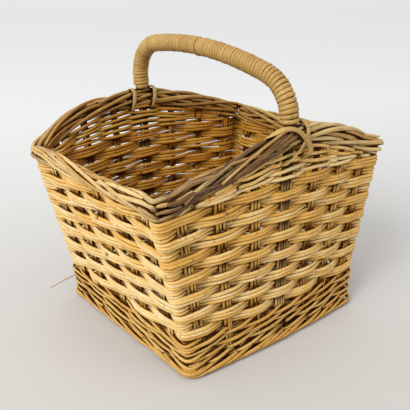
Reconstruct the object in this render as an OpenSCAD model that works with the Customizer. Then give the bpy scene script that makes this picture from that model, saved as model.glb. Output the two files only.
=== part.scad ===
// Hand-woven cane basket: flaring rectangular body with a flat foot,
// rim swept up to a fixed, cane-wrapped arch handle that spans its short way.
// +X runs along the two handle sides, +Z is up, the origin is under the middle of the foot.

/* [Body] */
// Length over the rim border, corner to corner
rim_l = 343; // [280:1:420]
// Width over the rim border at the corners
rim_w = 266; // [220:1:320]
// How far the handle sides bow outward at the rim
rim_bow = 15; // [4:1:24]
// Length over the foot
foot_l = 267; // [230:1:340]
// Width over the foot at the corners
foot_w = 263; // [220:1:310]
// How far the handle sides bow outward at the foot
foot_bow = 6; // [2:1:14]
// Height of the rim at the corners
rim_h = 220; // [170:1:300]
// How much higher the rim stands at the handle
rim_rise = 44; // [24:1:70]
// Sweep of the rim left of the front leg: 1 is straight, more is fuller
front_left_sweep_share = 1; // [1:0.05:4]
// Sweep of the rim right of the front leg
front_right_sweep_share = 1.7; // [1:0.05:4]
// Sweep of the rim right of the back leg
back_right_sweep_share = 1.35; // [1:0.05:4]
// Sweep of the rim left of the back leg
back_left_sweep_share = 3.4; // [1:0.05:4]

/* [Weave] */
// Diameter of the weaving cane
cane_d = 3.4; // [2.4:0.1:4.6]
// Height of the slit between two courses of three canes
slit = 2; // [1:0.1:3]
// Groups of stakes in each handle side
side_count = 7; // [5:2:9]
// Groups of stakes in each end
end_count = 5; // [3:1:7]

/* [Foot and base] */
// Height of the plain bottom border
foot_border_h = 10; // [6:0.5:16]
// Height of the waled rows over the bottom border
foot_wale_h = 40; // [28:1:60]
// Thickness of one waled row
wale_t = 9; // [7:0.5:12]
// How far the waled rows swing in and out
wale_swing = 2; // [0.5:0.1:3]
// Width of the inner ledge that carries the base
base_ledge = 10; // [6:0.5:16]
// Thickness of the woven base
base_t = 8; // [5:0.5:12]

/* [Rim border] */
// Height of the border
border_h = 24; // [16:0.5:32]
// Thickness of the border
border_t = 17; // [12:0.5:22]
// Canes laid one over another on each face of the border
border_canes = 3; // [2:1:4]

/* [Handle] */
// Height of the handle's top over the rim beside it
handle_rise = 79; // [72:1:140]
// Diameter of the handle over its wrap
handle_d = 21; // [17:0.5:26]
// Thickness of the cane wrap
wrap_t = 2.5; // [1.5:0.1:3.5]
// Width of one turn of the wrap
wrap_pitch = 7; // [5:0.5:10]
// Bend radius of the handle's shoulders
bend_r = 46; // [30:1:52]
// Straight part of the front leg, as a share of the height under the shoulders
front_leg_share = 0.19; // [0.1:0.01:0.35]
// Straight part of the back leg, as a share of the height under the shoulders
back_leg_share = 0.785; // [0.5:0.005:0.85]
// Rods of the handle's leg, side by side
leg_rods = 4; // [3:1:4]
// Width of the lashing strip
lash_w = 7; // [4:0.5:9]
// Thickness of the lashing strip
lash_t = 1.2; // [0.8:0.1:2]
// Lean of the crossed front lashing
lash_lean = 45; // [40:1:50]

/* [Hidden] */
$fn = 48;

// Room between two pieces that lie against each other
clear = 0.4;
// Overrun of every cut
over = 1;

// Shape of the weave, as shares of one cane
band_half_share = 0.5;
flank_share = 0.7;
shoulder_share = 0.8;

// Heights of the foot, the weave and the border
wale_rows = 4;
wale_row_h = foot_wale_h / wale_rows;
weave_z = foot_border_h + foot_wale_h;
weave_h = rim_h - border_h - weave_z;
courses = max(3, round(weave_h / (3 * cane_d + slit / 2)));
course_p = weave_h / courses;
peak_rows = max(1, round(rim_rise / course_p));
seat_drop = lash_t + clear;
peak_p = (rim_rise - seat_drop) / peak_rows;
rows = courses + peak_rows;
seat_z = weave_z + weave_h + rim_rise - seat_drop - slit / 2;

// Columns of stakes all round, and the rows of open slits between the courses
stakes = 2 * (side_count + end_count);
gap_limit = 120;
gap_rows = min(courses - 1, floor(gap_limit / (stakes / 2)));
columns = 4 * stakes;
levels = 2 * rows;
leg_w = leg_rods * cane_d;

// Handle: a three-centred arch over two straight legs, its crown leaning to the longer one
core_d = handle_d - 2 * wrap_t;
wrap_groove = wrap_t / 3;
leg_y = half_w(seat_z) + bow(seat_z);
leg_z = rim_h + rim_rise + clear;
wrap_z = leg_z + lash_t + clear;
crown_z = rim_h + rim_rise + handle_rise - handle_d / 2;
shoulder_h = crown_z - bend_r - wrap_z;
front_leg = front_leg_share * shoulder_h;
back_leg = back_leg_share * shoulder_h;

// The crown touches both shoulders: its middle is where one circle of that height meets both bend centres
front_drop = shoulder_h - front_leg;
back_drop = shoulder_h - back_leg;
bend_y = leg_y - bend_r;
lean_a = 1 / front_drop - 1 / back_drop;
lean_b = 4 * bend_y / back_drop;
lean_c = front_drop - back_drop - 4 * bend_y * bend_y / back_drop;
front_span = (sqrt(lean_b * lean_b - 4 * lean_a * lean_c) - lean_b) / (2 * lean_a);
crown_y = front_span - bend_y;
crown_r = bend_r + (front_span * front_span + front_drop * front_drop) / (2 * front_drop);
front_bend = atan2(crown_r - bend_r - front_drop, front_span);
back_bend = atan2(crown_r - bend_r - back_drop, bend_y - crown_y);

// Middle surface of the sides at a height: half length, half width and bow
function along(z) = z / rim_h;
function half_l(z) = (foot_l - border_t) / 2 + along(z) * (rim_l - foot_l) / 2;
function half_w(z) = (foot_w - border_t) / 2 + along(z) * (rim_w - foot_w) / 2;
function bow(z) = foot_bow + along(z) * (rim_bow - foot_bow);

// Sides 0 front, 1 right, 2 back, 3 left: reach is half a side's own run
function is_long(i) = i % 2 == 0;
function reach(i, z) = is_long(i) ? half_l(z) : half_w(z);
function turned(i, a, n, z) =
    i == 0 ? [a, -n, z] : i == 1 ? [n, a, z] : i == 2 ? [-a, n, z] : [-n, -a, z];

// Point on side i, a along it and out from its middle surface
function on_side(i, a, out, z) =
    let (
        run = reach(i, z),
        b = is_long(i) ? bow(z) : 0,
        q = a / run,
        slope = -2 * b * q / run,
        k = sqrt(1 + slope * slope),
        n = (is_long(i) ? half_w(z) : half_l(z)) + b * (1 - q * q)
    )
    turned(i, a - out * slope / k, n + out / k, z);

// Top of the rim at a share q of a handle side's run
function sweep_share(i, q) =
    i == 0 ? (q < 0 ? front_left_sweep_share : front_right_sweep_share)
    : (q < 0 ? back_right_sweep_share : back_left_sweep_share);
function rim_z(i, q) =
    rim_h + (is_long(i) ? rim_rise * (1 - pow(min(1, abs(q)), sweep_share(i, q))) : 0);

// Stake groups: the side that group k stands in, its share of that side's run, half its width
function side_of(k) =
    k < side_count ? 0
    : k < side_count + end_count ? 1
    : k < 2 * side_count + end_count ? 2 : 3;
function first_of(i) =
    i == 0 ? 0 : i == 1 ? side_count : i == 2 ? side_count + end_count
    : 2 * side_count + end_count;
function count_of(i) = is_long(i) ? side_count : end_count;
function place_of(k) = let (i = side_of(k)) (2 * (k - first_of(i)) + 1) / count_of(i) - 1;
function is_leg(k) = let (i = side_of(k)) is_long(i) && 2 * (k - first_of(i)) + 1 == side_count;
function group_half(k) = is_leg(k) ? leg_w / 2 : 3 * cane_d / 2;
function is_first(k) = k == first_of(side_of(k));
function is_last(k) = k == first_of(side_of(k)) + count_of(side_of(k)) - 1;

// The four samples of a group: before it, its two edges, after it. Next to a corner the outer one is the bend.
turn_cut = 2 * cane_d;
function is_bend(k, m) = (m == 0 && is_first(k)) || (m == 3 && is_last(k));
function bend_at(k, out, z) =
    let (run = reach(side_of(k), z), edge = abs(place_of(k)) * run + group_half(k))
    sign(place_of(k)) * (out + max(run - turn_cut, (run + edge) / 2));
function sample_step(k, m) =
    let (g = group_half(k), f = flank_share * cane_d) m == 0 ? -g - f : m == 1 ? -g : m == 2 ? g : g + f;
function sample_at(k, m, out, z) =
    is_bend(k, m) ? bend_at(k, out, z) : place_of(k) * reach(side_of(k), z) + sample_step(k, m);

// Heights of the lower and upper edge of each course: the top full course lies close under the border
function row_z(j) = weave_z + min(j, courses) * course_p + max(0, j - courses) * peak_p;
function level_z(v) =
    row_z(floor((v + 1) / 2))
    + (v == 0 ? 0 : v % 2 == 0 ? slit / 2 : v == 2 * courses - 1 ? -clear : -slit / 2);

// A band passes outside a group (1) or inside it (-1), in turn
function passes(j, k) = (j + k) % 2 == 0 ? 1 : -1;

// Outer (face 1) or inner (face -1) surface of the weave, out from the middle surface
function weave_out(face, j, k, m) =
    let (p = passes(j, k), at_stake = m == 1 || m == 2)
    is_bend(k, m) ? (band_half_share + face * band_half_share) * cane_d
    : at_stake && face * p < 0
    ? face * band_half_share * cane_d
    : p * (at_stake ? 1 : shoulder_share) * cane_d + face * band_half_share * cane_d;

// Rows over the corners are woven only where they stay under the swept rim
function rim_over(k) =
    let (i = side_of(k), q = place_of(k), d = sample_step(k, 3) / half_l(rim_h))
    min(rim_z(i, q - d), rim_z(i, q + d));
function row_fits(j, k) =
    j < courses || (is_long(side_of(k)) && level_z(2 * j + 1) + 2 * clear <= rim_over(k) - border_h);
function has_row(j, u) =
    let (k = floor(u / 4), m = u % 4, n = (k + 1) % stakes)
    j >= 0 && j < rows && row_fits(j, k)
    && (j < courses
        || (m < 3 ? !is_bend(k, m) && !is_bend(k, m + 1) : side_of(n) == side_of(k) && row_fits(j, n)));
function is_slit(v, u) =
    v % 2 == 1 && u % 4 == 3 && (v - 1) / 2 < gap_rows && passes((v - 1) / 2, floor(u / 4)) > 0;
function has_cell(v, u) = v >= 0 && v < levels - 1 && has_row(floor((v + 1) / 2), u) && !is_slit(v, u);

// Mesh numbering of the weave's points
function weave_id(face, v, u) = (face > 0 ? 0 : levels * columns) + v * columns + u % columns;
function quad(a, b, c, d) = [[a, b, c], [a, c, d]];

// Closed ring of points round the basket at one height, at the edges of every group and at the bends
function group_loop(z, out_of, bends) = [
    for (k = [0 : stakes - 1]) for (m = [0 : 3])
        if (m == 1 || m == 2 || (bends && is_bend(k, m)))
            let (p = on_side(side_of(k), sample_at(k, m, out_of[k], z), out_of[k], z)) [p.x, p.y]
];

// Stations of a smooth ring: side and share of its run, with a mitred point at each corner
long_steps = 14;
short_steps = 4;
corner_cut = border_t;
function ring_stations() = [
    for (i = [0 : 3])
        let (n = is_long(i) ? long_steps : short_steps)
        for (t = [0 : n + 1]) [i, t > n ? 2 : 2 * t / n - 1]
];
function ring_point(s, out, z) =
    let (i = s[0], r = reach(i, z))
    s[1] > 1
    ? turned(i, r + out, (is_long(i) ? half_w(z) : half_l(z)) + out, z)
    : on_side(i, s[1] * (r - corner_cut), out, z);
function ring_rim(s, z) =
    let (r = reach(s[0], z)) s[1] > 1 ? rim_h : rim_z(s[0], s[1] * (r - corner_cut) / r);

// Flat ring between two loops of points
module flat_ring(outer, inner, h) {
    n = len(outer);
    linear_extrude(h)
        polygon(concat(outer, inner), [[for (i = [0 : n - 1]) i], [for (i = [0 : len(inner) - 1]) n + i]]);
}

// Woven base: bands of three canes pass over and under the stake groups that run on below it
module base_mat() {
    z = foot_border_h;
    inset = wale_t / 2 + wale_swing + clear;
    float_h = base_t / 4;
    bands = 2 * floor(foot_w / (3 * cane_d + slit / 2) / 2) - 1;
    band_p = (foot_w - border_t) / (bands + 1);
    float_l = 2 * half_l(z) / side_count - 3 * cane_d / 2;
    color("#a87a3c") {
        translate([0, 0, z + float_h])
            linear_extrude(base_t - 2 * float_h)
                polygon(group_loop(z, [for (k = [0 : stakes - 1]) -inset], false));
        for (i = [0 : bands - 1]) for (k = [1 : side_count - 2])
            translate([place_of(k) * half_l(z), (i - (bands - 1) / 2) * band_p, z + ((i + k) % 2) * (base_t - 2 * float_h)])
                linear_extrude(2 * float_h)
                    square([float_l, 3 * cane_d], center = true);
    }
}

// Plain bottom border with the ledge that the base lies on
module foot_border() {
    color("#b98f4e")
        flat_ring(
            group_loop(0, [for (k = [0 : stakes - 1]) border_t / 2], true),
            group_loop(0, [for (k = [0 : stakes - 1]) -wale_t / 2 - wale_swing - base_ledge], false),
            foot_border_h
        );
}

// One waled row: out past two groups, then in behind one, a step further in each row
module foot_wale(row) {
    z = foot_border_h + row * wale_row_h;
    mid = z + wale_row_h / 2;
    swing = [for (k = [0 : stakes - 1]) (k + row) % 3 == 0 ? -wale_swing : wale_swing];
    color("#c39a56")
        translate([0, 0, z])
            flat_ring(
                group_loop(mid, [for (s = swing) s + wale_t / 2], true),
                group_loop(mid, [for (s = swing) s - wale_t / 2], false),
                wale_row_h
            );
}

// The four sides as one woven wall: courses pass over and under the stake groups in turn
module woven_sides() {
    points = [
        for (face = [1, -1]) for (v = [0 : levels - 1]) for (u = [0 : columns - 1])
            let (k = floor(u / 4), m = u % 4, z = level_z(v), out = weave_out(face, floor(v / 2), k, m))
            on_side(side_of(k), sample_at(k, m, out, z), out, z)
    ];
    faces = [
        for (v = [0 : levels - 2]) for (u = [0 : columns - 1]) if (has_cell(v, u))
            let (
                a = weave_id(1, v, u), b = weave_id(1, v, u + 1),
                c = weave_id(1, v + 1, u + 1), d = weave_id(1, v + 1, u),
                e = weave_id(-1, v, u), f = weave_id(-1, v, u + 1),
                g = weave_id(-1, v + 1, u + 1), h = weave_id(-1, v + 1, u)
            )
            each concat(
                quad(a, d, c, b),
                quad(e, f, g, h),
                has_cell(v - 1, u) ? [] : quad(a, b, f, e),
                has_cell(v + 1, u) ? [] : quad(c, d, h, g),
                has_cell(v, (u + columns - 1) % columns) ? [] : quad(d, a, e, h),
                has_cell(v, (u + 1) % columns) ? [] : quad(b, c, g, f)
            )
    ];
    color("#d2aa63") polyhedron(points, faces);
}

// Border section: canes laid one over another on both faces, as [out, up] shares
border_groove_share = 0.36;
border_section_shares = [
    for (face = [1, -1]) for (i = [0 : 2 * border_canes])
        let (t = face > 0 ? i : 2 * border_canes - i)
        [face * (t % 2 == 1 ? 0.5 : border_groove_share), t / (2 * border_canes)]
];

// Rim border that follows the swept rim, slotted for the legs of the handle
module rim_border() {
    st = ring_stations();
    n = len(st);
    sec = border_section_shares;
    m = len(sec);
    points = [
        for (s = st) for (q = sec)
            let (z = ring_rim(s, rim_h) - border_h * (1 - q[1])) ring_point(s, q[0] * border_t, z)
    ];
    faces = [
        for (i = [0 : n - 1]) for (j = [0 : m - 1])
            let (a = i * m + j, b = i * m + (j + 1) % m, c = (i + 1) % n * m + (j + 1) % m, d = (i + 1) % n * m + j)
            each quad(a, b, c, d)
    ];
    color("#96784a")
        difference() {
            polyhedron(points, faces);
            for (side = [-1, 1])
                translate([-leg_w / 2 - clear, side * leg_y - cane_d / 2 - clear, seat_z - over])
                    cube([leg_w + 2 * clear, cane_d + 2 * clear, border_h + slit + 2 * over]);
        }
}

// Middle line of the handle: distance from the front leg's foot gives place and heading
front_bend_run = bend_r * front_bend * PI / 180;
back_bend_run = bend_r * back_bend * PI / 180;
crown_run = crown_r * (180 - front_bend - back_bend) * PI / 180;
bend_from = front_leg + front_bend_run;
crown_to = bend_from + crown_run;
back_from = crown_to + back_bend_run;
arch_run = back_from + back_leg;
function swung(y, z, r, turn) = [y + r * cos(turn), z + r * sin(turn), turn];
function arch(s) =
    s < front_leg ? [-leg_y, wrap_z + s, 180]
    : s < bend_from ? swung(-bend_y, wrap_z + front_leg, bend_r, 180 - (s - front_leg) / bend_r * 180 / PI)
    : s < crown_to
    ? swung(crown_y, crown_z - crown_r, crown_r, 180 - front_bend - (s - bend_from) / crown_r * 180 / PI)
    : s < back_from ? swung(bend_y, wrap_z + back_leg, bend_r, back_bend - (s - crown_to) / bend_r * 180 / PI)
    : [leg_y, wrap_z + arch_run - s, 0];
function arch_point(s, r, around) =
    let (p = arch(s), o = r * cos(around))
    [r * sin(around), p[0] + o * cos(p[2]), p[1] + o * sin(p[2])];

// Stations along the legs, the two bends and the crown
bend_steps = 6;
crown_steps = 4;
function arch_stations(more) = concat(
    [-more],
    [for (i = [0 : bend_steps]) front_leg + front_bend_run * i / bend_steps],
    [for (i = [1 : crown_steps - 1]) bend_from + crown_run * i / crown_steps],
    [for (i = [0 : bend_steps]) crown_to + back_bend_run * i / bend_steps],
    [arch_run + more]
);

// Tube along the handle through rings of [distance, radius], capped at both ends or closed on itself
module arch_tube(rings, sides, capped) {
    n = len(rings);
    points = [for (g = rings) for (j = [0 : sides - 1]) arch_point(g[0], g[1], (j + 0.5) * 360 / sides)];
    faces = [
        for (i = [0 : n - (capped ? 2 : 1)]) for (j = [0 : sides - 1])
            let (i2 = (i + 1) % n, j2 = (j + 1) % sides)
            each quad(i * sides + j, i2 * sides + j, i2 * sides + j2, i * sides + j2)
    ];
    caps = [[for (j = [0 : sides - 1]) j], [for (j = [sides - 1 : -1 : 0]) (n - 1) * sides + j]];
    polyhedron(points, concat(faces, capped ? caps : []));
}

// Bent rod of the handle, its legs let through the border onto the weave
core_sides = 12;
module handle_core() {
    color("#a07a48") {
        arch_tube([for (s = arch_stations(wrap_z - leg_z)) [s, core_d / 2]], core_sides, true);
        for (side = [-1, 1])
            translate([-leg_w / 2, side * leg_y - cane_d / 2, seat_z])
                cube([leg_w, cane_d, (wrap_z + front_leg + leg_z) / 2 - seat_z]);
    }
}

// Cane wrap: one ridge to each turn, hollow round the bent rod
wrap_sides = 8;
module handle_wrap() {
    halves = 2 * round(arch_run / wrap_pitch);
    bore_r = (core_d / 2 + clear) / cos(180 / wrap_sides);
    bore = arch_stations(0);
    ridged = [for (i = [0 : halves]) [arch_run * i / halves, handle_d / 2 - (i % 2 == 0 ? wrap_groove : 0)]];
    color("#d6b173")
        arch_tube(concat(ridged, [for (i = [len(bore) - 1 : -1 : 0]) [bore[i], bore_r]]), wrap_sides, false);
}

// Strips of flat cane looped round the border beside the handle's leg, with room for the rim's fall there
lash_x = leg_w / 2 + flank_share * cane_d + lash_w;
lash_q = (lash_x + lash_w / 2) / half_l(rim_h);
function lash_fall(i, q) = rim_h + rim_rise - rim_z(i, q);
function lash_z(fall) = rim_h + rim_rise - (border_h + fall + clear) / 2;
function lash_y(fall) = half_w(lash_z(fall)) + bow(lash_z(fall));
border_lean = border_h / rim_h * abs((rim_w - foot_w) / 2 + rim_bow - foot_bow);
module lash_loop(grow, lean, fall) {
    depth = border_t + border_lean + 2 * clear + 2 * grow;
    height = (border_h + fall + 3 * clear) / cos(lean) + lash_w * tan(lean) + 2 * grow;
    rotate([90, 0, 90])
        linear_extrude(lash_w, center = true)
            difference() {
                square([depth + 2 * lash_t, height + 2 * lash_t], center = true);
                square([depth, height], center = true);
            }
}

// Two strips that cross over the border under the front leg
module front_lashing() {
    fall = max(lash_fall(0, -lash_q), lash_fall(0, lash_q));
    color("#cfa865")
        translate([0, -lash_y(fall), lash_z(fall)])
            for (side = [-1, 1])
                rotate([0, side * lash_lean, 0]) lash_loop(side > 0 ? lash_t + clear : 0, lash_lean, fall);
}

// Two upright loops beside the back leg
module back_lashing() {
    color("#cfa865")
        for (side = [-1, 1])
            let (fall = lash_fall(2, -side * lash_q))
                translate([side * lash_x, lash_y(fall), lash_z(fall)]) lash_loop(0, 0, fall);
}

base_mat();
foot_border();
foot_wale(0);  // foot_wale_1
foot_wale(1);  // foot_wale_2
foot_wale(2);  // foot_wale_3
foot_wale(3);  // foot_wale_4
woven_sides();
rim_border();
handle_core();
handle_wrap();
front_lashing();
back_lashing();
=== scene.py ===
# %% [markdown]
# A hand-woven cane basket: a flaring body of three-cane courses woven over groups of
# stakes, a waled foot, a border of long canes swept up to an arched handle, and a strip
# of split cane wound round that handle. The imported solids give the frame. This script
# lays the real canes in their place, one path to each cane.

# %% Load the frame
import math
import bpy
import numpy as np
from mathutils import Matrix, Vector
from mathutils.bvhtree import BVHTree


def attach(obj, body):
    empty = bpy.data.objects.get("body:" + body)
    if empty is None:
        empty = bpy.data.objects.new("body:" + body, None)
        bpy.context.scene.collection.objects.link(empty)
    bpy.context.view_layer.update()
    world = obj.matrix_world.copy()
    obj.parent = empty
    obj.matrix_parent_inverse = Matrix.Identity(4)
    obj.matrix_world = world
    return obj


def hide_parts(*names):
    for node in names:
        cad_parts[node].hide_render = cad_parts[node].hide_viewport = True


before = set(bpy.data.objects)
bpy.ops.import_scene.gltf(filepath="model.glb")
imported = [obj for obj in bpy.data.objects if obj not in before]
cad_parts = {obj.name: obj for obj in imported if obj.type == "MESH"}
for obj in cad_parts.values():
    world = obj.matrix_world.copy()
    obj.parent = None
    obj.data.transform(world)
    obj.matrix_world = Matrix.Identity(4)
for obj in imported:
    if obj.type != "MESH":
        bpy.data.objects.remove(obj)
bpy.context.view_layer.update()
scene = bpy.context.scene
scene.view_settings.view_transform = "Standard"
print("nodes:", sorted(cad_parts))

# %% [markdown]
# The camera comes first, so that every later choice can be judged in the right picture.
# Its place and turn were fitted to the corners of the rim and the foot.

# %% Camera
camera_place = (-0.47133, -0.59921, 0.43472)
right, up, back = (0.7831, -0.6215, -0.0233), (0.2451, 0.2739, 0.9300), (-0.5716, -0.7340, 0.3668)
view = bpy.data.cameras.new("view")
view.sensor_width, view.lens = 36.0, 56.36
camera = bpy.data.objects.new("view", view)
scene.collection.objects.link(camera)
turn = Matrix((right, up, back)).transposed().to_4x4()
camera.matrix_world = Matrix.Translation(camera_place) @ turn
scene.camera = camera
print("camera stands", [round(v, 3) for v in camera.location])

# %% [markdown]
# The basket's own sizes, in millimetres, are the ones that the solids were made with.
# A path round the basket is given by v: 0 to 1 along the front, 1 to 2 along the right
# end, then the back and the left end. Whole numbers are corners. The four sides could be
# drawn one by one, but then no cane could run on past a corner.

# %% Sizes
MM = 0.001
rim_l, rim_w, rim_bow = 343.0, 266.0, 15.0
foot_l, foot_w, foot_bow = 267.0, 263.0, 6.0
rim_h, rim_rise, border_h, border_t = 220.0, 44.0, 24.0, 17.0
weave_z, courses = 50.0, 13
weave_h = rim_h - border_h - weave_z
course_p = weave_h / courses
groups = (7, 5, 7, 5)
rng = np.random.default_rng(7)
print("course pitch", round(course_p, 2), "mm")

# %% The middle surface of the sides
# Past this share of a side, what is moved out is moved along the side too.
corner_share = 0.86


def ease(f):
    """A smooth change from 0 to 1."""
    return f * f * (3 - 2 * f)


def side_of(v):
    """Side at a place: 0 front, 1 right end, 2 back, 3 left end."""
    return np.floor(v).astype(int) % 4


def share_along(v):
    """Place along its side, from -1 at one corner to 1 at the next."""
    return 2 * (v - np.floor(v)) - 1


def half_l(z):
    return (foot_l - border_t) / 2 + z / rim_h * (rim_l - foot_l) / 2


def half_w(z):
    return (foot_w - border_t) / 2 + z / rim_h * (rim_w - foot_w) / 2


def half_run(side, z):
    """Half the length of a side at a height."""
    return np.where(side % 2 == 0, half_l(z), half_w(z))


def side_point(side, q, out, z):
    """Point on a side at a share q of its run, moved out from the middle surface."""
    bow = (foot_bow + z / rim_h * (rim_bow - foot_bow)) * (1 - q * q)
    off = half_run(side + 1, z) + np.where(side % 2 == 0, bow, 0.0) + out
    near = np.clip((np.abs(q) - corner_share) / (1 - corner_share), 0, 1)
    along = q * half_run(side, z) + np.sign(q) * out * ease(near)
    x = np.choose(side, [along, off, -along, -off])
    y = np.choose(side, [-off, along, off, -along])
    return np.stack([x, y, z + 0 * x], -1)


def around(v, out, z, corner):
    """Point on a path round the basket, its corners rounded."""
    v, out, z = np.broadcast_arrays(*(np.asarray(x, float) for x in (v, out, z)))
    side, q = side_of(v), share_along(v)
    first = np.where(q > 0, side, (side + 3) % 4)
    then = (first + 1) % 4
    run_a, run_b = half_run(first, z), half_run(then, z)
    past = np.where(q > 0, (q - 1) * run_a, (q + 1) * run_b)
    w = np.clip((past + corner) / (2 * corner), 0, 1)[..., None]
    enter = side_point(first, 1 - corner / run_a, out, z)
    tip = side_point(first, np.ones_like(q), out, z)
    leave = side_point(then, corner / run_b - 1, out, z)
    bend = (1 - w) ** 2 * enter + 2 * w * (1 - w) * tip + w * w * leave
    return np.where((np.abs(past) < corner)[..., None], bend, side_point(side, q, out, z))


def corner_near(v, z, reach):
    """1 at a corner, and less with the distance from it."""
    gap = (1 - np.abs(share_along(v))) * half_run(side_of(v), z)
    return np.exp(-((gap / reach) ** 2))


print("rim corner at", side_point(np.array([0]), np.array([1.0]), 0.0, rim_h).round(1))

# %% The swept rim
sag_v, sag_reach, sag_depth = 0.06, 0.04, 4.0


def rise_share(v, left_back=3.4):
    """Share of the rise at a place: each quarter of the rim sweeps up to the handle in its own way."""
    side, q = side_of(v), share_along(v)
    left_front, right_front, right_back = 1.0, 1.7, 1.35
    front_power = np.where(q < 0, left_front, right_front)
    back_power = np.where(q < 0, right_back, left_back)
    power = np.where(side == 0, front_power, back_power)
    return np.where(side % 2 == 0, 1 - np.abs(q) ** power, 0.0)


def rim_z(v):
    """Top of the border. Near the front left corner it sags a little."""
    v = np.asarray(v, float)
    sag = np.exp(-(((v % 4) - sag_v) / sag_reach) ** 2)
    return rim_h + rim_rise * rise_share(v) - sag_depth * sag


print("rim height at a corner and at the handle:", rim_z(1.0).round(1), rim_z(0.5).round(1))

# %% Places of the stakes, and the drift of a hand
stake_v = np.concatenate([side + (np.arange(n) + 0.5) / n for side, n in enumerate(groups)])
group_count = len(stake_v)
legs = (groups[0] // 2, sum(groups[:2]) + groups[2] // 2)


def v_of(u):
    """Place round the basket of group number u, and of any point between two groups."""
    u = np.asarray(u, float)
    lap = np.floor(u / group_count)
    numbers = np.arange(group_count + 1)
    return 4 * lap + np.interp(u - group_count * lap, numbers, np.append(stake_v, stake_v[0] + 4))


def drift(n, knots, amount):
    """A slow random change along a cane, as a hand leaves it."""
    value = rng.normal(0, amount, knots + 1)
    at = np.linspace(0, knots - 1e-6, n)
    k = at.astype(int)
    f = ease(at - k)
    return value[k] * (1 - f) + value[k + 1] * f


print("stake groups:", group_count, "with the handle's legs at", legs)

# %% [markdown]
# A cane is a path with a thickness. One node tree sweeps every path of a piece: it wavers
# the path a little, turns it into a curve, and draws a round or flattened section along
# it. It keeps the place along and round each cane, which the material needs for its
# grain. A plain bevelled curve would be shorter, but it loses those two.

# %% One helper for every node, and the cane tree


def add(tree, kind, sockets=None, **settings):
    """Adds one node, gives it its settings, and fills or links its sockets."""
    node = tree.nodes.new(kind)
    for name, value in settings.items():
        setattr(node, name, value)
    for name, value in (sockets or {}).items():
        if isinstance(value, bpy.types.NodeSocket):
            tree.links.new(value, node.inputs[name])
        else:
            node.inputs[name].default_value = value
    return node


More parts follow.
